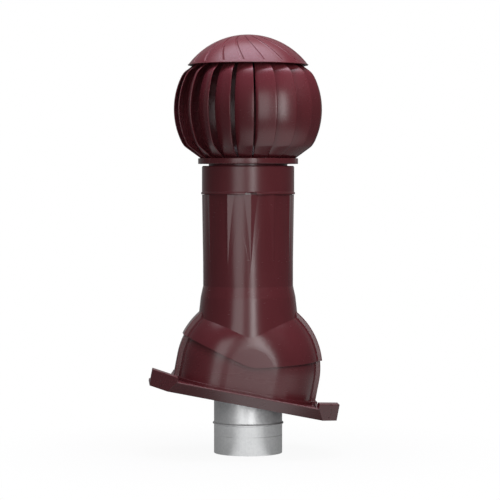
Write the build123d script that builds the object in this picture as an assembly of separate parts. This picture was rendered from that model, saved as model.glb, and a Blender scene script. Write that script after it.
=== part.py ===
from build123d import *
import os
from math import atan2, cos, degrees, radians, sin, sqrt, tan

# Turbine roof vent: a ball-shaped wind turbine on an insulated pipe, a hood that tilts to suit
# the pitch of the roof, and a base that is screwed down on it.
# Millimetres. The origin is the centre of the duct's lower end, +Z runs up the duct and
# +X points down the slope of the roof.

# Duct of galvanised sheet
duct_radius = 62.5
duct_sheet = 0.8
duct_below_mast_top = 6.4
bead_height = 55.0
bead_rise = 2.5

# Roof base, in its own frame about the tilt axis: u down the slope, y across, n off the plate
roof_pitch = 11.0
tilt_axis_height = 156.5
moulded_wall = 3.0
hood_fit = 0.3
dome_gap = 2.5
base_rim_n = -62.0
deck_n = -44.0
lip_n = -40.0
lip_width = 5.0
curb_n = -38.0
curb_width = 4.0
ear_top_n = -32.0
ear_depth = 38.0
edge_round = 1.5
foot_plate = 4.0
base_half_length = 172.6
base_half_width = 132.0
long_edge_half = 128.0
ear_end_half_width = 53.0
block_half_length = 136.0
block_end_half_width = 20.0
undercut = 24.0
duct_slot_half_angle = 57.5
duct_slot_half_width = 72.0
roof_screw_circle = 305.5
roof_screw_hole = 2.75
ear_notch_length = 11.0
ear_notch_depth = 2.2
ear_notch_middle = 153.5
ear_pin_hole = 1.5
ear_seam_width = 0.8
ear_seam_depth = 1.0

# Tilting hood and mast, one moulding
belt_radius = 134.5
belt_half_width = 26.0
belt_round = 1.2
dome_radius = 130.5
dome_half_depth = 97.0
dome_flat_half = 40.0
hood_edge_slope = 14.5
hood_edge_round = 60.0
hood_edge_n = 6.8
mast_radius = 82.2
mast_top = 521.4
flare_start = 306.0
flare_shoulder_radius = 86.6
flare_shoulder = 286.0
flare_foot_radius = 95.5
flare_foot = 208.0
flute_count = 12
flute_depth = 4.5
flute_full_height = 465.0
flute_foot = 342.0

# Foam and its closing ring
foam_foot = 300.0
foam_gap = 0.4
top_ring_height = 4.0
top_ring_below_duct_top = 3.0

# Collar with the spider that carries the axle
collar_height = 51.7
collar_plate = 3.0
collar_fit = 0.3
collar_wall = 1.8
collar_lip_rise = 1.4
collar_lip_height = 3.3
collar_notch_width = 21.0
neck_radius = 72.0
neck_height = 15.3
arm_count = 4
arm_width = 5.0
arm_height = 12.0
boss_radius = 13.0
boss_height = 23.0
boss_above_neck = 5.0

# Head: cap, blades and lower ring lie on one ball
ball_radius = 136.0
cap_wall = 3.0
cap_overhang = 3.0
groove_count = 18
groove_depth = 1.5
groove_inner_radius = 28.0
groove_outer_radius = 106.0
groove_inner_width = 1.6
groove_outer_width = 7.0
groove_sweep = 25.5
groove_end_azimuth = -99.0
carrier_inner_radius = 84.0
carrier_outer_radius = 96.0
blade_count = 20
blade_wall = 2.4
blade_sweep = 16.0
blade_fall = 16.0
blade_foot_fall = 4.0
blade_head_fall = 9.0
blade_shoulder_radius = 118.6
blade_foot_radius = 87.0
blade_foot_rise = 22.8
blade_head_rise = 16.4
blade_edge_azimuth = -89.1
ring_gap = 3.6
ring_height = 10.3
ring_radius = 91.3
ring_bore = 79.0
ring_edge = 1.0
ring_seams = 6
ring_first_seam = 30.0
ring_seam_width = 1.0
ring_seam_depth = 0.6

# Axle, bearings and housing
axle_radius = 5.0
axle_fit = 0.05
axle_end = 5.0
axle_flange_radius = 9.0
axle_flange = 4.0
sleeve_radius = 8.0
bearing_radius = 13.0
bearing_width = 8.0
bearing_spread = 55.0
inner_ring_radius = 7.6
outer_ring_bore = 10.4
ball_size = 2.38
ball_play = 0.05
balls = 7
housing_radius = 17.0
housing_shoulder = 11.5
housing_skirt = 4.0
housing_fit = 0.05
flange_radius = 35.0
flange_thickness = 4.0
flange_above_carrier = 20.0
bearing_below_flange = 16.0
cap_screw_circle = 26.0
cap_screw_count = 4
cap_screw_radius = 2.0
cap_screw_grip = 12.0
cap_screw_head = 3.6
cap_screw_head_height = 2.6
cap_boss_radius = 4.5
washer_radius = 10.0
washer_thickness = 1.5
nut_flats = 17.0
nut_height = 8.0

# Heights up the mast and the head, each from the piece below it
duct_top = mast_top - duct_below_mast_top
collar_top = mast_top + collar_fit + collar_plate
collar_foot = collar_top - collar_height
neck_top = collar_top + neck_height
boss_top = neck_top + boss_above_neck
boss_foot = boss_top - boss_height
ring_foot = collar_top + ring_gap
ring_top = ring_foot + ring_height
shoulder_half = sqrt(ball_radius ** 2 - blade_shoulder_radius ** 2)
ball_centre = ring_top + blade_foot_rise + shoulder_half
carrier_foot = ball_centre + shoulder_half + blade_head_rise
cap_rim = carrier_foot - cap_overhang
flange_top = carrier_foot + flange_above_carrier
flange_foot = flange_top - flange_thickness
upper_bearing_foot = flange_top - bearing_below_flange
lower_bearing_foot = upper_bearing_foot - bearing_spread
housing_foot = lower_bearing_foot - housing_skirt
far = 4 * base_half_length


def turned(corners):
    """A solid of revolution about the duct's axis from (radius, height) corners."""
    outline = make_face(Polyline(*[(r, 0, z) for r, z in corners], close=True))
    return revolve(outline, Axis.Z)


def tube(inner, outer, foot, top):
    """A plain tube or washer about the duct's axis."""
    return turned([(inner, foot), (outer, foot), (outer, top), (inner, top)])


def rod(radius, foot, top):
    """A plain round bar about the duct's axis."""
    return Pos(0, 0, foot) * Cylinder(radius, top - foot, align=(Align.CENTER, Align.CENTER, Align.MIN))


def drum_section(belt, belt_half, dome, dome_half):
    """Outline of a hood cut through its tilt axis: a dome with a flat front and a proud belt."""
    section = Rectangle(2 * dome_flat_half, 2 * dome_half)
    for side in (1, -1):
        section += Pos(side * dome_flat_half, 0) * Ellipse(dome - dome_flat_half, dome_half)
    return section + RectangleRounded(2 * belt, 2 * belt_half, belt_round)


def drum(belt, belt_half, dome, dome_half):
    """The hood's outline turned about the tilt axis."""
    section = drum_section(belt, belt_half, dome, dome_half)
    half = section & Pos(belt, 0) * Rectangle(2 * belt, 2 * (dome_half + belt_half))
    return revolve(half, Axis.Y)


# Duct: a sheet tube with a rolled bead that stops the pipe pushed on from below
bead_centre = duct_radius - duct_sheet / 2
duct_outside = rod(duct_radius, 0, duct_top) + Pos(0, 0, bead_height) * Torus(
    bead_centre, bead_rise + duct_sheet / 2)
duct_inside = rod(duct_radius - duct_sheet, -1, duct_top + 1) + Pos(0, 0, bead_height) * Torus(
    bead_centre, bead_rise - duct_sheet / 2)
inner_duct = duct_outside - duct_inside

# Mast and hood: the flared pipe grows out of a hood turned about the tilt axis
tilt_axis = Pos(0, 0, tilt_axis_height)
hood_belt_bore = belt_radius - moulded_wall
hood_dome_bore = dome_radius - moulded_wall
hood_depth_bore = dome_half_depth - moulded_wall
edge_slope = radians(hood_edge_slope)
edge_tip = hood_edge_n - hood_edge_round * (1 / cos(edge_slope) - 1)
edge_end = edge_tip + far * tan(edge_slope)
edge_outline = make_face(Polyline(
    (0, edge_tip), (far, edge_end), (far, far), (-far, far), (-far, edge_end), close=True))
edge_outline = fillet(edge_outline.vertices().sort_by(Axis.Y)[0], hood_edge_round)
above_edge = Rot(0, roof_pitch, 0) * extrude(Plane.XZ * edge_outline, amount=2 * dome_half_depth, both=True)
hood_outside = drum(belt_radius, belt_half_width, dome_radius, dome_half_depth) & above_edge
hood_inside = drum(hood_belt_bore, belt_half_width - moulded_wall, hood_dome_bore, hood_depth_bore)
flute_slope = flute_depth / (flute_full_height - flute_foot)
flute_half_pitch = radians(180 / flute_count)
flute_half_width = mast_radius * sin(flute_half_pitch)
flute_rise = (mast_radius * cos(flute_half_pitch) - mast_radius + flute_depth) / flute_half_width


def flute_depth_at(height):
    """How deep the flutes are at a height on the mast."""
    return flute_slope * max(0, height - flute_foot)


def pipe(radial_offset, foot, top):
    """The flared and fluted pipe as a full bar, grown or shrunk by an offset."""
    bar = turned([
        (0, foot),
        (flare_foot_radius + radial_offset, foot),
        (flare_foot_radius + radial_offset, flare_foot),
        (flare_shoulder_radius + radial_offset, flare_shoulder),
        (mast_radius + radial_offset, flare_start),
        (mast_radius + radial_offset, top),
        (0, top),
    ])
    reach = 2 * flute_half_width
    valley = Plane(
        origin=(0, -(mast_radius + radial_offset), flute_foot),
        x_dir=(1, 0, 0),
        z_dir=(0, flute_slope, 1),
    )
    wedge = make_face(Polyline(
        (0, 0), (reach, -reach * flute_rise), (reach, -reach), (-reach, -reach),
        (-reach, -reach * flute_rise), close=True))
    flute = extrude(valley * wedge, amount=2 * (top - flute_foot))
    return bar - PolarLocations(0, flute_count) * flute


pipe_foot = flare_foot - moulded_wall
hood_mast = (tilt_axis * hood_outside) + pipe(0, pipe_foot, mast_top)
hood_mast -= tilt_axis * hood_inside
hood_mast -= pipe(-moulded_wall, pipe_foot - 1, mast_top + 1)

# Base: a lower hood inside the upper one, on a hollow block with a low plate at both ends and
# two raised ears along the front
base_belt = hood_belt_bore - hood_fit
base_belt_half = belt_half_width - moulded_wall - dome_gap
base_dome = hood_dome_bore - dome_gap
base_depth = hood_depth_bore - dome_gap
ear_ends = (base_half_length, ear_end_half_width)
block_ends = (block_half_length, block_end_half_width)


def lower_hood(inset, foot):
    """The lower hood as a full body: turned above the tilt axis, straight sided below it."""
    sizes = (base_belt - inset, base_belt_half - inset, base_dome - inset, base_depth - inset)
    above = drum(*sizes) & Pos(0, 0, far / 2) * Box(far, far, far)
    return above + extrude(drum_section(*sizes), amount=foot)


def plate_corners(half_width, half_length_at_width, end_half_width, half_length):
    """Corners of the eight-sided plate, round from the uphill end."""
    quarter = [(half_length, end_half_width), (half_length_at_width, half_width)]
    right = [(u, -y) for u, y in quarter[::-1]] + quarter
    return right + [(-u, -y) for u, y in right]


def plate_face(n, inset, ends):
    """An outline of the base at a height, with its long sides drawn in towards the rim."""
    full_length, full_end = ends
    run = (full_length - long_edge_half) / (base_half_width - full_end)
    drawn_in = undercut * (lip_n - n) / (lip_n - base_rim_n)
    half_width = base_half_width - drawn_in - inset
    half_length = full_length - inset
    end_half_width = full_end + inset * (1 - sqrt(1 + run ** 2)) / run
    at_width = half_length - run * (half_width - end_half_width)
    corners = plate_corners(half_width, at_width, end_half_width, half_length)
    return Pos(0, 0, n) * make_face(Polyline(*corners, close=True))


def plate_body(low, high, inset, ends):
    """The base between two heights as a full body."""
    return loft([plate_face(low, inset, ends), plate_face(high, inset, ends)], ruled=True)


def rounded_top(body):
    """A body with the edges of its top face rounded."""
    return fillet(body.faces().sort_by(Axis.Z)[-1].edges(), edge_round)


def ear(direction, foot, top, inset):
    """One raised ear as a full body: a band along the slanting side at the front."""
    slant = (base_half_width - ear_end_half_width) / (base_half_length - long_edge_half)
    depth = ear_depth - 2 * inset * sqrt(1 + slant ** 2)
    outline = plate_face(lip_n, inset, ear_ends)
    above = extrude(outline, amount=top - lip_n)
    behind = Pos(0, depth, 0) * extrude(outline, amount=2 * base_rim_n, both=True)
    keep = Pos(direction * (long_edge_half + inset + far / 2), 0, 0) * Box(far, far, far)
    return ((plate_body(foot, lip_n, inset, ear_ends) + above) & keep) - behind


plate = rounded_top(plate_body(base_rim_n, lip_n, 0, block_ends))
plate -= Pos(0, 0, deck_n - lip_n) * extrude(plate_face(lip_n, lip_width, block_ends), amount=-deck_n)
curb = drum_section(*[size + curb_width for size in (base_belt, base_belt_half, base_dome, base_depth)])
plate += Pos(0, 0, deck_n - moulded_wall) * extrude(curb, amount=curb_n - deck_n + moulded_wall)
plate += lower_hood(0, deck_n - moulded_wall)
plate += plate_body(base_rim_n, base_rim_n + foot_plate, 0, ear_ends)
under = plate_body(base_rim_n - 1, deck_n - moulded_wall, moulded_wall, block_ends)
for direction in (1, -1):
    plate += rounded_top(ear(direction, base_rim_n, ear_top_n, 0))
    under += ear(direction, base_rim_n - 1, ear_top_n - moulded_wall, moulded_wall)
plate -= under + lower_hood(moulded_wall, base_rim_n - 1)

# Slot over which the duct swings when the hood tilts
slot_reach = 2 * base_belt / cos(radians(duct_slot_half_angle))
slot_edge = slot_reach * sin(radians(duct_slot_half_angle))
slot_height = slot_reach * cos(radians(duct_slot_half_angle))
slot_outline = make_face(Polyline(
    (0, 0, 0), (slot_edge, 0, slot_height), (-slot_edge, 0, slot_height), close=True))
plate -= extrude(slot_outline, amount=duct_slot_half_width, both=True)

# Screw holes through the deck, and the notch, seam and pin hole in the front of each ear
plate -= Pos(0, 0, deck_n) * PolarLocations(roof_screw_circle / 2, 4, 45) * Cylinder(
    roof_screw_hole, 4 * moulded_wall)
ear_slant = degrees(atan2(base_half_width - ear_end_half_width, base_half_length - long_edge_half))
notch_share = (ear_notch_middle - long_edge_half) / (base_half_length - long_edge_half)
notch_y = base_half_width + notch_share * (ear_end_half_width - base_half_width)
for side in (1, -1):
    front = Pos(side * ear_notch_middle, -notch_y, 0) * Rot(0, 0, side * ear_slant)
    plate -= front * Pos(0, 0, ear_top_n) * Box(ear_notch_length, moulded_wall, 2 * ear_notch_depth)
    plate -= front * Pos(side * ear_notch_length / 2, 0, 0) * Box(
        ear_seam_width, 2 * ear_seam_depth, -2 * (base_rim_n + foot_plate))
    plate -= front * Pos(0, 0, base_rim_n + 2 * moulded_wall) * Rot(90, 0, 0) * Cylinder(
        ear_pin_hole, 4 * moulded_wall)
base_flashing = tilt_axis * Rot(0, roof_pitch, 0) * plate

# Foam between duct and mast, closed by a ring
foam_top = duct_top - top_ring_below_duct_top - top_ring_height
foam_bore = duct_radius + foam_gap


def mast_bore_at(height):
    """Clear radius inside the mast at a height, down in the flutes."""
    return mast_radius - moulded_wall - flute_depth_at(height)


insulation = turned([
    (foam_bore, foam_foot),
    (mast_bore_at(foam_foot) - foam_gap, foam_foot),
    (mast_bore_at(flute_foot) - foam_gap, flute_foot),
    (mast_bore_at(foam_top) - foam_gap, foam_top),
    (foam_bore, foam_top),
])
ring_outside = mast_bore_at(foam_top + top_ring_height) - foam_gap
duct_top_ring = tube(foam_bore, ring_outside, foam_top, foam_top + top_ring_height)

# Collar: cup over the mast, neck into the turbine, spider and boss for the axle
collar_bore = mast_radius + collar_fit
collar_outside = collar_bore + collar_wall
collar_lip = collar_outside + collar_lip_rise
neck_bore = neck_radius - moulded_wall
collar = turned([
    (collar_bore, collar_foot),
    (collar_lip, collar_foot),
    (collar_lip, collar_foot + collar_lip_height),
    (collar_outside, collar_foot + collar_lip_height + collar_lip_rise),
    (collar_outside, collar_top - collar_wall),
    (collar_outside - collar_wall, collar_top),
    (neck_radius, collar_top),
    (neck_radius, neck_top),
    (neck_bore, neck_top),
    (neck_bore, collar_top - collar_plate),
    (collar_bore, collar_top - collar_plate),
])
arm = Pos(0, 0, neck_top - arm_height) * Box(
    neck_bore + moulded_wall / 2, arm_width, arm_height, align=(Align.MIN, Align.CENTER, Align.MIN))
collar += PolarLocations(0, arm_count) * arm
collar += rod(boss_radius, boss_foot, boss_top)
collar -= rod(axle_radius + axle_fit, boss_foot - 1, boss_top + 1)
collar -= Pos(0, -collar_lip, collar_foot) * Box(
    collar_notch_width, 4 * collar_lip_rise + 2 * collar_wall, 2 * collar_lip_height)

# Axle with its flange, and what is threaded on it
sleeve_foot = boss_top + axle_flange
upper_bearing_top = upper_bearing_foot + bearing_width
axle_foot = boss_foot - washer_thickness - nut_height - axle_end
axle_top = upper_bearing_top + washer_thickness + nut_height + axle_end
axle_seat = axle_radius + axle_fit
axle = rod(axle_radius, axle_foot, axle_top) + rod(axle_flange_radius, boss_top, sleeve_foot)
axle_washer = tube(axle_seat, washer_radius, boss_foot - washer_thickness, boss_foot)
axle_sleeve = tube(axle_seat, sleeve_radius, sleeve_foot, lower_bearing_foot)
bearing_spacer = tube(axle_seat, inner_ring_radius, lower_bearing_foot + bearing_width, upper_bearing_foot)
top_washer = tube(axle_seat, washer_radius, upper_bearing_top, upper_bearing_top + washer_thickness)
hexagon = RegularPolygon(nut_flats / 2, 6, major_radius=False) - Circle(axle_seat)
axle_nut = Pos(0, 0, boss_foot - washer_thickness - nut_height) * extrude(hexagon, amount=nut_height)
lock_nut = Pos(0, 0, upper_bearing_top + washer_thickness) * extrude(hexagon, amount=nut_height)

# Ball bearings, each an inner ring, an outer ring and its balls
pitch_radius = (inner_ring_radius + outer_ring_bore) / 2


def bearing(foot):
    """Inner ring, outer ring and balls of one bearing."""
    middle = Pos(0, 0, foot + bearing_width / 2)
    race = middle * Torus(pitch_radius, ball_size + ball_play)
    inner = tube(axle_seat, inner_ring_radius, foot, foot + bearing_width) - race
    outer = tube(outer_ring_bore, bearing_radius, foot, foot + bearing_width) - race
    ball_set = [middle * spot * Sphere(ball_size) for spot in PolarLocations(pitch_radius, balls)]
    return inner, outer, Compound(children=ball_set)


lower_inner, lower_outer, lower_balls = bearing(lower_bearing_foot)
upper_inner, upper_outer, upper_balls = bearing(upper_bearing_foot)

# Housing: flanged tube with a shoulder between the outer rings
housing_bore = bearing_radius + housing_fit
lower_shoulder = lower_bearing_foot + bearing_width + housing_fit
upper_shoulder = upper_bearing_foot - housing_fit
bearing_housing = turned([
    (housing_bore, housing_foot),
    (housing_radius, housing_foot),
    (housing_radius, flange_foot),
    (flange_radius, flange_foot),
    (flange_radius, flange_top),
    (housing_bore, flange_top),
    (housing_bore, upper_shoulder),
    (housing_shoulder, upper_shoulder),
    (housing_shoulder, lower_shoulder),
    (housing_bore, lower_shoulder),
])
screw_spots = PolarLocations(cap_screw_circle, cap_screw_count, 45)
screw_hole = cap_screw_radius + housing_fit
bearing_housing -= screw_spots * rod(screw_hole, flange_foot - 1, flange_top + 1)


def ball_height(radius, sphere):
    """Height of a sphere about the ball's centre at a distance from the axis."""
    return ball_centre + sqrt(sphere ** 2 - radius ** 2)


# Cap: the top of the ball as a shell, with a ring for the blades, bosses and swirl grooves
cap_bore = ball_radius - cap_wall
cap_shell = Pos(0, 0, ball_centre) * (Sphere(ball_radius) - Sphere(cap_bore))
cap = cap_shell & Pos(0, 0, cap_rim + far / 2) * Box(far, far, far)
sunk = cap_wall / 3
cap += turned([
    (carrier_inner_radius, carrier_foot),
    (carrier_outer_radius, carrier_foot),
    (carrier_outer_radius, ball_height(carrier_outer_radius, cap_bore) + sunk),
    (carrier_inner_radius, ball_height(carrier_inner_radius, cap_bore) + sunk),
])
boss_end = ball_height(cap_screw_circle + cap_boss_radius, cap_bore) + sunk
cap += screw_spots * rod(cap_boss_radius, flange_top, boss_end)
cap -= screw_spots * rod(screw_hole, flange_top - 1, flange_top + cap_screw_grip + 1)


def polar(radius, azimuth):
    """A point in plan from its distance and direction."""
    return (radius * cos(radians(azimuth)), radius * sin(radians(azimuth)))


def groove_outline():
    """Plan of one swirl groove: a sickle that widens outwards, ending at zero azimuth."""
    middle_radius = (groove_inner_radius + groove_outer_radius) / 2
    middle_width = (groove_inner_width + groove_outer_width) / 2
    stations = [
        (groove_inner_radius, groove_inner_width, -groove_sweep),
        (middle_radius, middle_width, -groove_sweep / 2),
        (groove_outer_radius, groove_outer_width, 0),
    ]
    left, right = [
        [polar(r, azimuth + side * degrees(width / 2 / r)) for r, width, azimuth in stations]
        for side in (1, -1)
    ]
    edges = [
        ThreePointArc(*left),
        Line(left[2], right[2]),
        ThreePointArc(*right[::-1]),
        Line(right[0], left[0]),
    ]
    return make_face(edges)


groove = Pos(0, 0, cap_rim) * Rot(0, 0, groove_end_azimuth) * extrude(groove_outline(), amount=ball_radius)
groove -= Pos(0, 0, ball_centre) * Sphere(ball_radius - groove_depth)
cap -= PolarLocations(0, groove_count) * groove

cap_screws = Compound(children=[
    spot * (rod(cap_screw_radius, flange_foot, flange_top + cap_screw_grip)
            + rod(cap_screw_head, flange_foot - cap_screw_head_height, flange_foot))
    for spot in screw_spots
])

# Lower ring under the blades, with shallow seams in its rim
lower_ring = turned([
    (ring_bore, ring_foot),
    (ring_radius - ring_edge, ring_foot),
    (ring_radius, ring_foot + ring_edge),
    (ring_radius, ring_top - ring_edge),
    (ring_radius - ring_edge, ring_top),
    (ring_bore, ring_top),
])
seam = Pos(0, 0, (ring_foot + ring_top) / 2) * Box(
    2 * ring_seam_depth, ring_seam_width, 2 * (ring_top - ring_foot))
lower_ring -= PolarLocations(ring_radius, ring_seams, ring_first_seam) * seam


def mitred(before, corner, after, depth):
    """A profile corner moved square off both of its sides by a depth, to the left."""
    sides = []
    for start, end in ((before, corner), (corner, after)):
        run = sqrt((end[0] - start[0]) ** 2 + (end[1] - start[1]) ** 2)
        sides.append((-(end[1] - start[1]) / run, (end[0] - start[0]) / run))
    (ax, az), (bx, bz) = sides
    reach = depth / (1 + ax * bx + az * bz)
    return (corner[0] + reach * (ax + bx), corner[1] + reach * (az + bz))


def blade_section(share):
    """Upright cut through a blade, a share of the way from its outer edge to its inner edge."""
    fall = share * blade_fall
    foot = (blade_foot_radius - share * blade_foot_fall, ring_top)
    low = (blade_shoulder_radius - fall, ball_centre - shoulder_half)
    middle = (ball_radius - fall, ball_centre)
    high = (low[0], ball_centre + shoulder_half)
    head = (carrier_outer_radius - share * blade_head_fall, carrier_foot)
    foot_cut = blade_wall * sqrt((low[0] - foot[0]) ** 2 + (low[1] - foot[1]) ** 2) / (low[1] - foot[1])
    head_cut = blade_wall * sqrt((high[0] - head[0]) ** 2 + (high[1] - head[1]) ** 2) / (head[1] - high[1])
    inner = [
        (head[0] - head_cut, head[1]),
        mitred(middle, high, head, blade_wall),
        (middle[0] - blade_wall, middle[1]),
        mitred(foot, low, middle, blade_wall),
        (foot[0] - foot_cut, foot[1]),
    ]
    corners = [(r, 0, z) for r, z in [foot, low, middle, high, head] + inner]
    strip = make_face([
        Line(corners[0], corners[1]),
        ThreePointArc(*corners[1:4]),
        Line(corners[3], corners[4]),
        Line(corners[4], corners[5]),
        Line(corners[5], corners[6]),
        ThreePointArc(*corners[6:9]),
        Line(corners[8], corners[9]),
        Line(corners[9], corners[0]),
    ])
    return Rot(0, 0, blade_edge_azimuth - share * blade_sweep) * strip


# Blades: each falls inwards behind its outer edge, foot on the ring and head under the cap
one_blade = loft([blade_section(share) for share in (0, 0.5, 1)])
blade_step = 360 / blade_count
blades = {
    f"blade_{number + 1:02d}": Rot(0, 0, number * blade_step) * one_blade
    for number in range(blade_count)
}

nodes = {
    "base_flashing": base_flashing,
    "hood_mast": hood_mast,
    "inner_duct": inner_duct,
    "insulation": insulation,
    "duct_top_ring": duct_top_ring,
    "collar": collar,
    "axle": axle,
    "axle_washer": axle_washer,
    "axle_nut": axle_nut,
    "axle_sleeve": axle_sleeve,
    "bearing_spacer": bearing_spacer,
    "top_washer": top_washer,
    "lock_nut": lock_nut,
    "lower_bearing_inner_ring": lower_inner,
    "lower_bearing_outer_ring": lower_outer,
    "lower_bearing_balls": lower_balls,
    "upper_bearing_inner_ring": upper_inner,
    "upper_bearing_outer_ring": upper_outer,
    "upper_bearing_balls": upper_balls,
    "bearing_housing": bearing_housing,
    "cap": cap,
    "cap_screws": cap_screws,
    "lower_ring": lower_ring,
    **blades,
}
os.makedirs("parts", exist_ok=True)
for name, solid in nodes.items():
    export_step(solid, f"parts/{name}.step")
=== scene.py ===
from math import acos, cos, pi, radians, sin, sqrt, tan

import bmesh
import bpy
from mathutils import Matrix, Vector


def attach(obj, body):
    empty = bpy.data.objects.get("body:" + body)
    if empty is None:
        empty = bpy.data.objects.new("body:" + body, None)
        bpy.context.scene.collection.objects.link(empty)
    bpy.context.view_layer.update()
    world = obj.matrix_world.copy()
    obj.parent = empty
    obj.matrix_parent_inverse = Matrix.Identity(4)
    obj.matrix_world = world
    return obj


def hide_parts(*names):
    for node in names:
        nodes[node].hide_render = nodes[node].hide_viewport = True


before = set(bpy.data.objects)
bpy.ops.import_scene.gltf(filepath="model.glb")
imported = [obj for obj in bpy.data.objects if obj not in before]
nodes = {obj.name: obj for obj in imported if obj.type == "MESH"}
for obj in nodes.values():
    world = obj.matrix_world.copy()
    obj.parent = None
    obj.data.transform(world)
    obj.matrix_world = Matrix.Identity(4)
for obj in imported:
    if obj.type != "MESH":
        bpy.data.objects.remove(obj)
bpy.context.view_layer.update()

# Roof base: a lower hood on a hollow block with two raised ears at the front, injection moulded in
# one piece from wine-red plastic and screwed down on the roof. The gate and the mould leave faint
# flow marks, and its sharp edges have rubbed a little paler.


class Shade:
    """A socket of a material. Arithmetic on it adds Math nodes."""

    def __init__(self, tree, socket=None):
        self.tree = tree
        self.socket = socket

    def node(self, kind, settings=None, inputs=None, output=0):
        """Adds a node: its settings first, then the values or links of its sockets."""
        made = self.tree.nodes.new(kind)
        for name, value in (settings or {}).items():
            setattr(made, name, value)
        for name, value in (inputs or {}).items():
            if isinstance(value, Shade):
                self.tree.links.new(value.socket, made.inputs[name])
            else:
                made.inputs[name].default_value = value
        return Shade(self.tree, made.outputs[output] if made.outputs else None)

    def maths(self, operation, *terms):
        return self.node("ShaderNodeMath", {"operation": operation}, dict(enumerate(terms)))

    def __add__(self, other):
        return self.maths("ADD", self, other)

    def __radd__(self, other):
        return self.maths("ADD", other, self)

    def __sub__(self, other):
        return self.maths("SUBTRACT", self, other)

    def __rsub__(self, other):
        return self.maths("SUBTRACT", other, self)

    def __mul__(self, other):
        return self.maths("MULTIPLY", self, other)

    def __rmul__(self, other):
        return self.maths("MULTIPLY", other, self)

    def __truediv__(self, other):
        return self.maths("DIVIDE", self, other)

    def __abs__(self):
        return self.maths("ABSOLUTE", self)

    def above(self, low, high):
        """Ramp from 0 at one level to 1 at another."""
        return self.node("ShaderNodeMapRange", {"interpolation_type": "SMOOTHSTEP"},
                         {0: self, 1: low, 2: high, 3: 0.0, 4: 1.0})

    def mix(self, share, first, second):
        """Colour mixed from two by a share."""
        return self.node("ShaderNodeMix", {"data_type": "RGBA"}, {0: share, 6: first, 7: second}, 2)

    def noise(self, place, scale, detail=2.0):
        return self.node("ShaderNodeTexNoise", inputs={
            "Vector": place, "Scale": scale, "Detail": detail})

    def stretched(self, place, along):
        """Object coordinates scaled by a vector, to draw a pattern out."""
        return self.node("ShaderNodeMapping", inputs={"Vector": place, "Scale": along})

    def bump(self, strength, distance, height, **normal):
        """A normal that follows a height, on top of a given normal or of the mesh's own."""
        return self.node("ShaderNodeBump", inputs={
            "Strength": strength, "Distance": distance, "Height": height, **normal})


def new_finish(name):
    """An empty material, the start of its maths, and its object coordinates in metres."""
    material = bpy.data.materials.new(name)
    material.use_nodes = True
    material.node_tree.nodes.clear()
    start = Shade(material.node_tree)
    return material, start, start.node("ShaderNodeTexCoord", output="Object")


def close_finish(start, settings):
    """The shader and the output of a material."""
    shader = start.node("ShaderNodeBsdfPrincipled", inputs=settings)
    start.node("ShaderNodeOutputMaterial", inputs={"Surface": shader})


wine_deep = (0.072, 0.0125, 0.0158, 1.0)
wine_light = (0.092, 0.0165, 0.0208, 1.0)
wine_rubbed = (0.17, 0.052, 0.060, 1.0)
dust_grey = (0.30, 0.25, 0.25, 1.0)
cloud_scale = 11.0
peel_scale = 620.0
dust_scale = 190.0
scuff_stretch = (90.0, 90.0, 420.0)
wine_relief = 0.0004
edge_rub = 0.0007


def wine_plastic(name, roughness, flow, rub_radius=0.0):
    """Semi-gloss wine-red moulding: faint flow marks along a direction, dust and rubbed edges."""
    material, start, place = new_finish(name)
    cloud = start.noise(place, cloud_scale, 3.0)
    marks = start.noise(start.stretched(place, flow), 1.0, 4.0)
    peel = start.noise(place, peel_scale)
    scuff = start.noise(start.stretched(place, scuff_stretch), 1.0, 3.0).above(0.66, 0.74)
    cells = {"Vector": place, "Scale": dust_scale}
    speck = start.node("ShaderNodeTexVoronoi", inputs=cells)
    chance = start.node("ShaderNodeSeparateColor", inputs={
        0: start.node("ShaderNodeTexVoronoi", inputs=cells, output="Color")})
    dust = (1 - speck.above(0.10, 0.19)) * chance.above(0.86, 0.90)
    colour = start.mix(cloud * 0.6 + marks * 0.4, wine_deep, wine_light)
    rubbed = 0.02 * scuff
    smooth = {}
    if rub_radius:
        eased = start.node("ShaderNodeBevel", {"samples": 4}, {"Radius": rub_radius})
        flat = start.node("ShaderNodeNewGeometry", output="Normal")
        agree = start.node("ShaderNodeVectorMath", {"operation": "DOT_PRODUCT"},
                           {0: eased, 1: flat}, "Value")
        rubbed = rubbed + (1 - agree).above(0.02, 0.30) * (0.12 + 0.3 * cloud)
        smooth = {"Normal": eased}
    colour = start.mix(rubbed, colour, wine_rubbed)
    colour = start.mix(dust * 0.04, colour, dust_grey)
    uneven = 0.05 * (marks - 0.5) + 0.05 * (cloud - 0.5)
    close_finish(start, {
        "Base Color": colour,
        "Roughness": roughness + uneven + 0.04 * scuff + 0.03 * dust,
        "Normal": start.bump(0.06, wine_relief, peel * 0.35 + marks * 0.65, **smooth),
        "IOR": 1.5,
    })
    return material


def dress(material, *names):
    """Gives CAD pieces a material."""
    for name in names:
        for place in nodes[name].material_slots:
            place.material = material


dress(wine_plastic("wine_plastic_base", 0.27, (14.0, 30.0, 70.0), edge_rub), "base_flashing")

# Inner duct: galvanised steel sheet rolled to a 125 mm tube, with a folded seam at the back and a
# rolled bead that stops the pipe pushed on from below. Its zinc is soft, so it carries drawing
# marks along the tube and a scuff ring from a pipe clip.

duct_radius = 0.0625
duct_sheet = 0.0008
duct_top = 0.515
duct_middle = 0.2
duct_cut_ease = 0.0004
duct_steps = 180
bead_height = 0.055
bead_rise = 0.0025
bead_steps = 12
seam_half_width = 0.0045
seam_rise = 0.0007
seam_wall_half = 0.0003
seam_azimuth = radians(118.0)
clip_ring_height = 0.0335
zinc_dark = (0.60, 0.61, 0.62, 1.0)
zinc_pale = (0.80, 0.81, 0.81, 1.0)
zinc_scuffed = (0.30, 0.30, 0.29, 1.0)
spangle_scale = 260.0
drawn_stretch = (520.0, 520.0, 9.0)
rolled_stretch = (25.0, 25.0, 900.0)
sharp_angle = radians(50.0)
merge_distance = 1e-7


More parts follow.
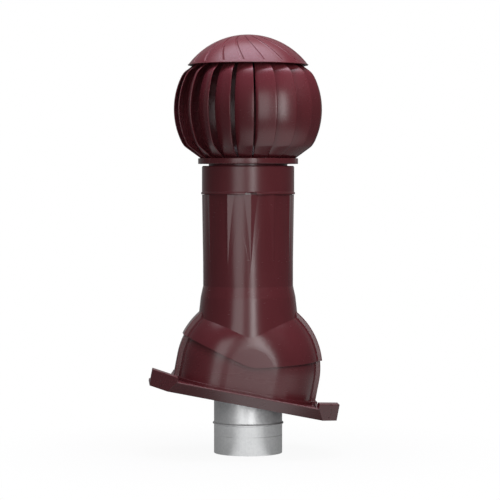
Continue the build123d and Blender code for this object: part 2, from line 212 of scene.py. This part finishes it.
def woven(name, columns, round_profile=True, ends=False):
    """Mesh object from columns of points, each column joined to the next and the last to the first.

    With ends, the first and the last column are closed by a face each and not joined.
    """
    count, length = len(columns), len(columns[0])
    points = [point for column in columns for point in column]
    faces = []
    for i in range(count if not ends else count - 1):
        j = (i + 1) % count
        for k in range(length if round_profile else length - 1):
            m = (k + 1) % length
            faces.append((i * length + k, j * length + k, j * length + m, i * length + m))
    if ends:
        faces.append(tuple(range(length)))
        faces.append(tuple((count - 1) * length + k for k in range(length)))
    mesh = bpy.data.meshes.new(name)
    mesh.from_pydata(points, [], faces)
    work = bmesh.new()
    work.from_mesh(mesh)
    bmesh.ops.remove_doubles(work, verts=work.verts, dist=merge_distance)
    bmesh.ops.recalc_face_normals(work, faces=work.faces)
    work.to_mesh(mesh)
    work.free()
    mesh.shade_smooth()
    mesh.set_sharp_from_angle(angle=sharp_angle)
    made = bpy.data.objects.new(name, mesh)
    bpy.context.collection.objects.link(made)
    return made


def turned(radius, azimuth, height):
    """Point at a radius and azimuth about the duct's axis."""
    return (radius * cos(azimuth), radius * sin(azimuth), height)


def galvanised():
    """Zinc-coated sheet: soft spangle, drawing marks along the tube and a scuffed ring."""
    material, start, place = new_finish("galvanised_sheet")
    spangle = start.node("ShaderNodeTexVoronoi", inputs={
        "Vector": place, "Scale": spangle_scale}, output="Color")
    grain = start.node("ShaderNodeSeparateColor", inputs={0: spangle})
    drawn = start.noise(start.stretched(place, drawn_stretch), 1.0, 3.0)
    rolled = start.noise(start.stretched(place, rolled_stretch), 1.0)
    cloud = start.noise(place, 16.0, 3.0)
    level = start.node("ShaderNodeSeparateXYZ", inputs={0: place}, output="Z")
    ring = 1 - abs(level - clip_ring_height).above(0.0002, 0.0011)
    scuff = ring * cloud.above(0.45, 0.6)
    zinc = start.mix(grain * 0.35 + drawn * 0.4 + cloud * 0.25, zinc_dark, zinc_pale)
    close_finish(start, {
        "Base Color": start.mix(scuff * 0.5, zinc, zinc_scuffed),
        "Metallic": 0.55,
        "Roughness": 0.34 + 0.08 * grain + 0.07 * drawn + 0.15 * scuff,
        "Normal": start.bump(0.08, 0.0003, drawn * 0.6 + rolled * 0.3 + grain * 0.1),
    })
    return material


def duct_profile(lift):
    """Radius and height round the sheet: up the outside over the bead, down the inside."""
    outer, inner = duct_radius + lift, duct_radius - duct_sheet
    outside = [(duct_radius - duct_sheet / 2, 0.0), (outer, duct_cut_ease)]
    inside = [(inner, duct_cut_ease)]
    reach = bead_rise + duct_sheet
    for k in range(bead_steps + 1):
        swing = pi * (k / bead_steps - 0.5)
        wave = bead_rise * cos(swing) ** 2
        height = bead_height + 2 * reach * swing / pi
        outside.append((outer + wave, height))
        inside.append((inner + wave, height))
    outside += [(outer, duct_middle), (outer, duct_top)]
    inside.append((inner, duct_top))
    return outside + inside[::-1]


duct_azimuths = sorted(
    [k * 2 * pi / duct_steps for k in range(duct_steps)]
    + [seam_azimuth + side * (seam_half_width + step) / duct_radius
       for side in (1, -1) for step in (-seam_wall_half, seam_wall_half)])
duct_columns = []
for azimuth in duct_azimuths:
    on_seam = abs(azimuth - seam_azimuth) * duct_radius < seam_half_width
    profile = duct_profile(seam_rise if on_seam else 0.0)
    duct_columns.append([turned(radius, azimuth, height) for radius, height in profile])
duct = woven("inner_duct_sheet", duct_columns)
duct.data.materials.append(galvanised())
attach(duct, "mast")
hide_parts("inner_duct")

# Hood and mast: one moulding of the same wine-red plastic. The hood slides over the lower hood to
# suit the roof's pitch. Twelve low ridges rise out of the pipe below the collar: they are a skin
# over the solid's flutes, which lie where the ridges do.

mast_radius = 0.0822
ridge_count = 12
ridge_pitch = 2 * pi / ridge_count
ridge_foot = 0.342
ridge_top = 0.4725
ridge_rise = 0.0019
ridge_slope = radians(12.5)
ridge_least_half = radians(0.35)
ridge_rows = 16
first_ridge = radians(-90.0)
skin_lift = 0.00008
skin_depth = 0.001
skin_foot = 0.330
across_ridge = (-1.0, -0.96, -0.5, -0.03, 0.0, 0.03, 0.5, 0.96, 1.0)
beside_ridge = (0.04, 0.35, 0.65, 0.96)

mast_plastic = wine_plastic("wine_plastic_mast", 0.24, (60.0, 60.0, 7.0), edge_rub)
dress(mast_plastic, "hood_mast")


def ridge_point(number, on_ridge, share, height):
    """Point of the skin: across a ridge from -1 to 1, or from its side to the next from 0 to 1."""
    skin = mast_radius + skin_lift
    crest = skin + ridge_rise * max(0.0, (height - ridge_foot) / (ridge_top - ridge_foot))
    half = max(ridge_least_half, ridge_slope - acos(min(1.0, crest * cos(ridge_slope) / skin)))
    turn = share * half if on_ridge else half + share * (ridge_pitch - 2 * half)
    radius = skin
    if on_ridge:
        radius = max(skin, crest / (cos(turn) + tan(ridge_slope) * abs(sin(turn))))
    return turned(radius, first_ridge + number * ridge_pitch + turn, height)


def ridge_columns():
    """Columns of the ridged skin, up its outside and down inside the wall of the mast."""
    heights = [skin_foot, 0.5 * (skin_foot + ridge_foot)]
    heights += [
        ridge_foot + (ridge_top - ridge_foot) * k / ridge_rows for k in range(ridge_rows + 1)]
    spots = [(True, share) for share in across_ridge] + [(False, share) for share in beside_ridge]
    shrink = (mast_radius - skin_depth) / mast_radius
    columns = []
    for number in range(ridge_count):
        for on_ridge, share in spots:
            outside = [ridge_point(number, on_ridge, share, height) for height in heights]
            inside = [(x * shrink, y * shrink, z) for x, y, z in (outside[-1], outside[0])]
            columns.append(outside + inside)
    return columns


ridges = woven("mast_ridges", ridge_columns())
ridges.data.materials.append(mast_plastic)
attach(ridges, "mast")

# Insulation: a rigid foam sleeve, foamed in place between the duct and the mast. A ring moulded in
# dark plastic is pressed in on top. It centres the duct and closes the foam.

foam_yellowed = (0.52, 0.43, 0.25, 1.0)
foam_pale = (0.72, 0.64, 0.43, 1.0)
foam_cells = 420.0
black_deep = (0.010, 0.010, 0.010, 1.0)
black_worn = (0.018, 0.017, 0.017, 1.0)
black_grain = 700.0


def foam_finish():
    """Rigid foam: open cells and a skin that has yellowed in patches."""
    material, start, place = new_finish("foam")
    cells = start.node("ShaderNodeTexVoronoi", inputs={"Vector": place, "Scale": foam_cells})
    cloud = start.noise(place, 24.0, 3.0)
    close_finish(start, {
        "Base Color": start.mix(cloud * 0.7 + cells * 0.3, foam_yellowed, foam_pale),
        "Roughness": 0.85 + 0.1 * cloud,
        "Normal": start.bump(0.5, 0.001, cells),
    })
    return material


def black_plastic():
    """Dark filled plastic with a fine moulded grain."""
    material, start, place = new_finish("dark_plastic")
    grain = start.noise(place, black_grain)
    close_finish(start, {
        "Base Color": start.mix(start.noise(place, 30.0), black_deep, black_worn),
        "Roughness": 0.52 + 0.15 * grain,
        "Normal": start.bump(0.15, 0.0002, grain),
    })
    return material


dress(foam_finish(), "insulation")
dark_plastic = black_plastic()
dress(dark_plastic, "duct_top_ring")

# Collar: a moulded cup over the end of the mast. Its lip has a notch at the front for the fitter's
# mark on the pipe, and its four-armed spider carries the axle.

dress(wine_plastic("wine_plastic_collar", 0.30, (55.0, 55.0, 9.0), edge_rub), "collar")

# Bearings: a turned axle with nuts, washers and sleeves, all of zinc-plated steel, is bolted to the
# collar's spider. On it sit two ball bearings of bright steel, in a housing of dark plastic that
# four screws hold under the cap.

tool_rings = (30.0, 30.0, 2400.0)


def turned_steel(name, pale, dark, roughness):
    """Turned steel: rings from the tool, a thin colour change in the plating."""
    material, start, place = new_finish(name)
    rings = start.noise(start.stretched(place, tool_rings), 1.0)
    cloud = start.noise(place, 60.0, 3.0)
    close_finish(start, {
        "Base Color": start.mix(cloud * 0.6 + rings * 0.4, dark, pale),
        "Metallic": 1.0,
        "Roughness": roughness + 0.12 * rings,
        "Normal": start.bump(0.1, 0.0002, rings),
    })
    return material


dress(turned_steel("plated_steel", (0.66, 0.65, 0.60, 1.0), (0.50, 0.50, 0.49, 1.0), 0.26),
      "axle", "axle_washer", "axle_nut", "axle_sleeve", "bearing_spacer", "top_washer", "lock_nut",
      "cap_screws")
dress(turned_steel("bearing_steel", (0.74, 0.74, 0.75, 1.0), (0.62, 0.62, 0.63, 1.0), 0.14),
      *[name for name in nodes if "_bearing_" in name])
dress(dark_plastic, "bearing_housing")

# Lower ring of the turbine: moulded in wine-red plastic, six shallow joints in its rim. The feet of
# the blades are plugged into its top.

ring_radius = 0.0913
ring_bore = 0.079
ring_foot = 0.5283
ring_top = 0.5386
ring_round = 0.0011
ring_corner_steps = 4
ring_steps = 180
ring_joints = 6
ring_joint_width = 0.0010
ring_joint_depth = 0.0006
ring_joint_wall_half = 0.00015
first_joint = radians(-83.0)

turbine_plastic = wine_plastic("wine_plastic_turbine", 0.27, (40.0, 40.0, 16.0))


def ring_profile(sunk):
    """Radius and height round the ring's section, its outer corners eased."""
    corners = []
    for level, side, first in ((ring_foot, 1, -90.0), (ring_top, -1, 0.0)):
        for k in range(ring_corner_steps + 1):
            swing = radians(first + 90.0 / ring_corner_steps * k)
            corners.append((
                ring_radius - sunk - ring_round + ring_round * cos(swing),
                level + side * ring_round + ring_round * sin(swing)))
    bore_round = ring_round / 2
    return corners + [
        (ring_bore + bore_round, ring_top), (ring_bore, ring_top - bore_round),
        (ring_bore, ring_foot + bore_round), (ring_bore + bore_round, ring_foot)]


joint_edges = [
    side * (ring_joint_width / 2 + step)
    for side in (-1, 1) for step in (-ring_joint_wall_half, ring_joint_wall_half)]
ring_spots = [(first_joint + (k + 0.5) * 2 * pi / ring_steps, False) for k in range(ring_steps)]
for number in range(ring_joints):
    middle = first_joint + number * 2 * pi / ring_joints
    ring_spots += [
        (middle + edge / ring_radius, abs(edge) < ring_joint_width / 2) for edge in joint_edges]
ring_columns = []
for azimuth, in_joint in sorted(ring_spots):
    profile = ring_profile(ring_joint_depth if in_joint else 0.0)
    ring_columns.append([turned(radius, azimuth, height) for radius, height in profile])
ring = woven("lower_ring_rim", ring_columns)
ring.data.materials.append(turbine_plastic)
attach(ring, "turbine")
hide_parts("lower_ring")

# Blades: twenty curved strips moulded in wine-red plastic, bent in towards the ring below and the
# cap above. Each falls inwards behind its outer edge, and both of its edges are rounded.

ball_radius = 0.136
blade_count = 20
blade_wall = 0.0024
blade_sweep = radians(16.0)
blade_fall = 0.016
blade_foot_fall = 0.004
blade_head_fall = 0.009
blade_foot_rise = 0.0228
blade_head_rise = 0.0164
blade_shoulder_radius = 0.1186
blade_foot_radius = 0.087
blade_head_radius = 0.096
blade_edge_azimuth = radians(-89.1)
blade_bend = 0.005
blade_bend_steps = 8
blade_bow_half_steps = 14
blade_across_steps = 14
blade_edge_swings = [radians(turn) for turn in (25, 50, 75, 105, 130, 155)]
shoulder_half = sqrt(ball_radius ** 2 - blade_shoulder_radius ** 2)
ball_centre = ring_top + blade_foot_rise + shoulder_half
blade_head = ball_centre + shoulder_half + blade_head_rise


def eased_bend(start, corner, end):
    """Points of a curve that rounds off a corner."""
    steps = [k / blade_bend_steps for k in range(blade_bend_steps + 1)]
    return [(1 - t) ** 2 * start + 2 * t * (1 - t) * corner + t * t * end for t in steps]


def blade_line(share):
    """Outer line of a blade from foot to head, as radius and height, with eased bends."""
    fall = share * blade_fall
    foot = Vector((blade_foot_radius - share * blade_foot_fall, ring_top))
    low = Vector((blade_shoulder_radius - fall, ball_centre - shoulder_half))
    high = Vector((low.x, ball_centre + shoulder_half))
    head = Vector((blade_head_radius - share * blade_head_fall, blade_head))
    rise = ball_radius - blade_shoulder_radius
    bow = (shoulder_half ** 2 + rise ** 2) / (2 * rise)
    reach = acos((bow - rise) / bow)
    swings = [reach * (k / blade_bow_half_steps - 1) for k in range(2 * blade_bow_half_steps + 1)]
    bowed = [
        Vector((ball_radius - fall - bow + bow * cos(swing), ball_centre + bow * sin(swing)))
        for swing in swings]
    line = [foot, foot.lerp(low, 0.3)]
    line += eased_bend(low + (foot - low).normalized() * blade_bend, low, bowed[2])
    line += bowed[3:-3]
    line += eased_bend(bowed[-3], high, high + (head - high).normalized() * blade_bend)
    return line + [high.lerp(head, 0.7), head]


def blade_section():
    """Places round a blade's section: share of the way in, and side from outer -1 to inner 1."""
    ease = blade_wall / 2 / (ball_radius * blade_sweep)
    across = [
        1 - ease - (1 - 2 * ease) * k / blade_across_steps for k in range(blade_across_steps + 1)]
    section = [(share, -1.0) for share in across]
    section += [(ease - ease * sin(swing), -cos(swing)) for swing in blade_edge_swings]
    section += [(share, 1.0) for share in across[::-1]]
    section += [(1 - ease + ease * sin(swing), cos(swing)) for swing in blade_edge_swings]
    return section


def blade_loops():
    """Closed sections of one blade, from its foot to its head, in the head's frame."""
    loops = [[] for point in blade_line(0.0)]
    for share, side in blade_section():
        line = blade_line(share)
        azimuth = blade_edge_azimuth - share * blade_sweep
        for k, point in enumerate(line):
            along = (line[min(k + 1, len(line) - 1)] - line[max(k - 1, 0)]).normalized()
            inward = Vector((-along.y, along.x))
            if k in (0, len(line) - 1):
                inward = Vector((-1.0, 0.0)) / along.y
            spot = point + inward * blade_wall * (1 + side) / 2
            loops[k].append(turned(spot.x, azimuth, spot.y))
    return loops


def round_copies(seed, count, material):
    """Turns one piece into a ring of like pieces about the duct's axis, with a node tree."""
    tree = bpy.data.node_groups.new(seed.name + "_round", "GeometryNodeTree")
    face = tree.interface
    face.new_socket("Geometry", in_out="INPUT", socket_type="NodeSocketGeometry")
    face.new_socket("Geometry", in_out="OUTPUT", socket_type="NodeSocketGeometry")
    number = face.new_socket("Count", in_out="INPUT", socket_type="NodeSocketInt")
    pitch = face.new_socket("Step angle", in_out="INPUT", socket_type="NodeSocketFloat")
    finish = face.new_socket("Finish", in_out="INPUT", socket_type="NodeSocketMaterial")
    given = tree.nodes.new("NodeGroupInput")
    whole = tree.nodes.new("GeometryNodeGeometryToInstance")
    repeat = tree.nodes.new("GeometryNodeDuplicateElements")
    repeat.domain = "INSTANCE"
    swing = tree.nodes.new("ShaderNodeMath")
    swing.operation = "MULTIPLY"
    spin = tree.nodes.new("ShaderNodeCombineXYZ")
    turn = tree.nodes.new("GeometryNodeRotateInstances")
    turn.inputs["Local Space"].default_value = False
    real = tree.nodes.new("GeometryNodeRealizeInstances")
    paint = tree.nodes.new("GeometryNodeSetMaterial")
    result = tree.nodes.new("NodeGroupOutput")
    for source, target in (
            (given.outputs["Geometry"], whole.inputs[0]),
            (whole.outputs[0], repeat.inputs["Geometry"]),
            (given.outputs["Count"], repeat.inputs["Amount"]),
            (repeat.outputs["Duplicate Index"], swing.inputs[0]),
            (given.outputs["Step angle"], swing.inputs[1]),
            (swing.outputs[0], spin.inputs["Z"]),
            (repeat.outputs["Geometry"], turn.inputs["Instances"]),
            (spin.outputs[0], turn.inputs["Rotation"]),
            (turn.outputs[0], real.inputs[0]),
            (real.outputs[0], paint.inputs["Geometry"]),
            (given.outputs["Finish"], paint.inputs["Material"]),
            (paint.outputs[0], result.inputs[0])):
        tree.links.new(source, target)
    modifier = seed.modifiers.new("Round", "NODES")
    modifier.node_group = tree
    modifier[number.identifier] = count
    modifier[pitch.identifier] = 2 * pi / count
    modifier[finish.identifier] = material
    graph = bpy.context.evaluated_depsgraph_get()
    made = bpy.data.meshes.new_from_object(seed.evaluated_get(graph), depsgraph=graph)
    seed.modifiers.remove(modifier)
    seed.data = made


blades = woven("turbine_blades", blade_loops(), ends=True)
round_copies(blades, blade_count, turbine_plastic)
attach(blades, "turbine")
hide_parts(*[f"blade_{k + 1:02d}" for k in range(blade_count)])

# Cap: the top of the ball, a moulded wine-red shell. Eighteen shallow grooves swirl down it, each
# widening into a square end, and a ring inside carries the heads of the blades.

cap_wall = 0.003
cap_rim_drop = 0.003
cap_rim_round = 0.0009
cap_rim_edge = 0.0012
cap_bore_ease = 0.0004
groove_count = 18
groove_pitch = 2 * pi / groove_count
groove_depth = 0.0016
groove_inner_radius = 0.028
groove_outer_radius = 0.106
groove_inner_width = 0.0016
groove_outer_width = 0.007
groove_end_wall = 0.0006
groove_widest = 0.30 * groove_pitch
groove_sweep = radians(25.5)
groove_end_azimuth = radians(-99.0)
groove_reach = 1.35
groove_wall = (
    (-groove_reach, 0.0), (-1.08, 0.03), (-0.97, 0.3), (-0.88, 0.9), (-0.74, 1.0), (-0.2, 0.93),
    (0.35, 0.80), (0.76, 0.66), (0.90, 0.55), (0.98, 0.18), (1.08, 0.02), (groove_reach, 0.0))
between_grooves = (0.2, 0.4, 0.6, 0.8)
carrier_inner_radius = 0.084
carrier_outer_radius = 0.096
carrier_ease = 0.0005
cap_bore = ball_radius - cap_wall
cap_rim = blade_head - cap_rim_drop
cap_rim_radius = sqrt(ball_radius ** 2 - (cap_rim - ball_centre) ** 2)
top_radii = ([0.0, 0.004, 0.009, 0.014, 0.019, 0.0235, 0.0265, 0.0275, 0.0282, 0.029]
             + [0.033 + 0.005 * k for k in range(14)]
             + [0.1015, 0.1048, 0.1056, 0.1063, 0.1072, 0.1082])
inner_radii = (0.1055, 0.102, 0.0985)
crown_radii = (0.080, 0.070, 0.060, 0.050, 0.040, 0.030, 0.020, 0.010, 0.0)


def ball_height(radius, sphere):
    """Height of a sphere about the ball's centre at a distance from the axis."""
    return ball_centre + sqrt(max(0.0, sphere ** 2 - radius ** 2))


def held(share):
    """A share kept between 0 and 1."""
    return min(1.0, max(0.0, share))


def rim_points():
    """Radius and height round the cap's rim, its corners eased, then up the carrier inside."""
    rim_bore = sqrt(cap_bore ** 2 - (cap_rim - ball_centre) ** 2)
    edge = cap_rim_radius - cap_rim_edge
    points = [(edge, ball_height(edge, ball_radius))]
    for swing in (30.0, 0.0, -30.0, -60.0, -90.0):
        points.append((
            cap_rim_radius - cap_rim_round + cap_rim_round * cos(radians(swing)),
            cap_rim + cap_rim_round + cap_rim_round * sin(radians(swing))))
    points += [(rim_bore + cap_bore_ease, cap_rim), (rim_bore, cap_rim + cap_bore_ease)]
    points += [(radius, ball_height(radius, cap_bore)) for radius in inner_radii]
    points += [
        (carrier_outer_radius, ball_height(carrier_outer_radius, cap_bore)),
        (carrier_outer_radius, blade_head + carrier_ease),
        (carrier_outer_radius - carrier_ease, blade_head),
        (carrier_inner_radius + carrier_ease, blade_head),
        (carrier_inner_radius, blade_head + carrier_ease),
        (carrier_inner_radius, ball_height(carrier_inner_radius, cap_bore))]
    return points + [(radius, ball_height(radius, cap_bore)) for radius in crown_radii]


def groove_azimuth(radius, number, place, on_groove):
    """Azimuth of a column at a radius: across a groove, or between it and the next from 0 to 1."""
    share = (radius - groove_inner_radius) / (groove_outer_radius - groove_inner_radius)
    width = groove_inner_width + held(share) * (groove_outer_width - groove_inner_width)
    half_turn = min(width / 2 / max(radius, 0.001), groove_widest)
    middle = groove_end_azimuth + number * groove_pitch - groove_sweep * (1 - share)
    if on_groove:
        return middle + place * half_turn
    first = groove_reach * half_turn
    return middle + first + (groove_pitch - 2 * first) * place


def cap_column(number, place, depth, on_groove):
    """Column of the cap: down its top, through a groove or beside it, then round the rim."""
    points = []
    for radius in top_radii:
        to_end = min(radius - groove_inner_radius, groove_outer_radius - radius)
        sunk = groove_depth * depth * held(to_end / groove_end_wall + 0.5)
        height = ball_height(radius, ball_radius)
        out = Vector((radius, height - ball_centre)).normalized()
        azimuth = groove_azimuth(radius, number, place, on_groove)
        points.append(turned(radius - sunk * out.x, azimuth, height - sunk * out.y))
    for radius, height in rim_points():
        points.append(turned(radius, groove_azimuth(radius, number, place, on_groove), height))
    return points


cap_columns = []
for number in range(groove_count):
    cap_columns += [cap_column(number, place, depth, True) for place, depth in groove_wall]
    cap_columns += [cap_column(number, place, 0.0, False) for place in between_grooves]
cap = woven("cap_shell", cap_columns, round_profile=False)
cap.data.materials.append(turbine_plastic)
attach(cap, "turbine")
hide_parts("cap")

# Studio: the part stands on a white paper sweep, under an overhead box and beside two pale strip
# boxes and a wide dim panel in front. Two more lamps only soften its shadows and show in no
# reflection.

floor_reach = 6.0
floor_corners = ((-1, -1), (1, -1), (1, 1), (-1, 1))
plain_white = (1.0, 1.0, 1.0, 1.0)
paper_shown = (0.40, 0.40, 0.40, 1.0)
paper_bounce = (0.10, 0.10, 0.10, 1.0)
paper_least = 0.38
# Painted light: extra glow of the paper in reflections, towards the front.
painted_glow_ahead_level = 0.92

floor_mesh = bpy.data.meshes.new("floor")
floor_mesh.from_pydata(
    [(x * floor_reach, y * floor_reach, 0.0) for x, y in floor_corners], [], [(0, 1, 2, 3)])
floor = bpy.data.objects.new("floor", floor_mesh)
bpy.context.collection.objects.link(floor)


def floor_finish():
    """White paper that runs out into the white backdrop. In reflections it glows, painted brightest
    in front, with painted shade in two patches in front of the base.
    """
    material, start, place = new_finish("floor_paper")
    across = start.node("ShaderNodeVectorMath", {"operation": "LENGTH"}, {0: place}, "Value")
    forward = 0 - start.node("ShaderNodeSeparateXYZ", inputs={0: place}, output="Y")
    sideways = abs(start.node("ShaderNodeSeparateXYZ", inputs={0: place}, output="X"))
    facing = forward / (across + 0.001)
    away = across.above(0.06, 0.25)
    # Painted light: in reflections the paper glows brighter towards the front, a painted pool of
    # light.
    painted_glow_ahead = facing.above(0.70, 0.97) * (1 - away) + facing.above(0.10, 0.90) * away
    # Painted shade: the glow is halved in two patches just in front of the base, off to each side,
    # so the base's undersides reflect a painted shadow.
    painted_shade_patch = forward.above(0.05, 0.08) * (1 - forward.above(0.15, 0.18))
    painted_shade_patch = painted_shade_patch * sideways.above(0.05, 0.14) * (1 - sideways.above(0.18, 0.22))
    near = (1 - across.above(1.0, 1.6)) * (1 - 0.5 * painted_shade_patch)
    far = across.above(0.10, 0.60)
    seen = start.node("ShaderNodeLightPath", output="Is Camera Ray")
    shown = start.node("ShaderNodeLightPath", output="Is Glossy Ray") * near
    paper = start.node("ShaderNodeBsdfDiffuse", inputs={
        "Color": start.mix(seen, paper_bounce, paper_shown)})
    white = start.node("ShaderNodeEmission", inputs={
        "Color": plain_white, "Strength": seen + shown * (paper_least + painted_glow_ahead_level * painted_glow_ahead)})
    shader = start.node("ShaderNodeMixShader", inputs={
        0: seen * (0.94 + 0.06 * far) + shown, 1: paper, 2: white})
    start.node("ShaderNodeOutputMaterial", inputs={"Surface": shader})
    material.cycles.emission_sampling = "NONE"
    return material


floor_mesh.materials.append(floor_finish())

overhead_level = 3.4
overhead_tint = (1.0, 0.96, 1.10, 1.0)
backdrop_level = 0.22
wall_level = 0.085

world = bpy.data.worlds.new("studio")
bpy.context.scene.world = world
world.use_nodes = True
world.node_tree.nodes.clear()
room = Shade(world.node_tree)
heading = room.node("ShaderNodeTexCoord", output="Generated")
upward = room.node("ShaderNodeSeparateXYZ", inputs={0: heading}, output="Z")
backward = room.node("ShaderNodeSeparateXYZ", inputs={0: heading}, output="Y")
overhead = upward.above(0.72, 0.93) * backward.above(-0.42, -0.12)
overhead = overhead * (1 - backward.above(0.25, 0.75))
backdrop = backward.above(0.35, 1.0)
seen = room.node("ShaderNodeLightPath", output="Is Camera Ray")
unseen = wall_level + overhead_level * overhead + backdrop_level * backdrop
room_light = room.node("ShaderNodeBackground", inputs={
    "Color": room.mix(overhead, plain_white, overhead_tint),
    "Strength": seen + (1 - seen) * unseen})
room.node("ShaderNodeOutputWorld", inputs={"Surface": room_light})

camera_azimuth = radians(-3.5)
camera_distance = 4.0
camera_height = 0.495
aim_height = 0.371
aim_right = 0.0035
focal_pixels = 2188.0
frame_pixels = 500.0
sensor_millimetres = 36.0

toward = Vector((sin(camera_azimuth), -cos(camera_azimuth), 0.0))
right_hand = Vector((-toward.y, toward.x, 0.0))


def softbox(name, azimuth, distance, height, width, tall, power,
            aim=0.40, mirrored=True, tint=(1.0, 1.0, 1.0)):
    """An area lamp at an azimuth from the camera's side, facing a height on the part's axis."""
    lamp = bpy.data.lights.new(name, "AREA")
    lamp.shape = "RECTANGLE"
    lamp.size = width
    lamp.size_y = tall
    lamp.energy = power
    lamp.color = tint
    made = bpy.data.objects.new(name, lamp)
    swing = radians(azimuth)
    out = toward * cos(swing) + right_hand * sin(swing)
    made.location = out * distance + Vector((0.0, 0.0, height))
    facing = Vector((0.0, 0.0, aim)) - made.location
    made.rotation_euler = facing.to_track_quat("-Z", "Y").to_euler()
    made.visible_camera = False
    made.visible_glossy = mirrored
    bpy.context.collection.objects.link(made)


softbox("strip_left", azimuth=-23.0, distance=2.6, height=0.75, width=1.10, tall=1.7, power=14.5)
softbox("strip_right", azimuth=12.0, distance=2.6, height=0.75, width=0.48, tall=1.7, power=18.0)
softbox("front_panel", azimuth=0.0, distance=2.7, height=0.75, width=1.8, tall=0.9, power=2.25)
softbox("key_right", azimuth=45.0, distance=2.0, height=1.85, width=1.4, tall=1.4, power=34.0,
        aim=0.45, mirrored=False)
softbox("head_top", azimuth=0.0, distance=0.15, height=1.35, width=0.35, tall=0.35, power=7.5,
        aim=0.70, mirrored=False, tint=(1.0, 0.95, 1.25))

camera_data = bpy.data.cameras.new("camera")
camera_data.sensor_width = sensor_millimetres
camera_data.lens = focal_pixels / frame_pixels * sensor_millimetres
camera = bpy.data.objects.new("camera", camera_data)
bpy.context.collection.objects.link(camera)
camera.location = toward * camera_distance + Vector((0.0, 0.0, camera_height))
aim = right_hand * aim_right + Vector((0.0, 0.0, aim_height))
camera.rotation_euler = (aim - camera.location).to_track_quat("-Z", "Y").to_euler()
bpy.context.scene.camera = camera
bpy.context.scene.view_settings.view_transform = "Standard"
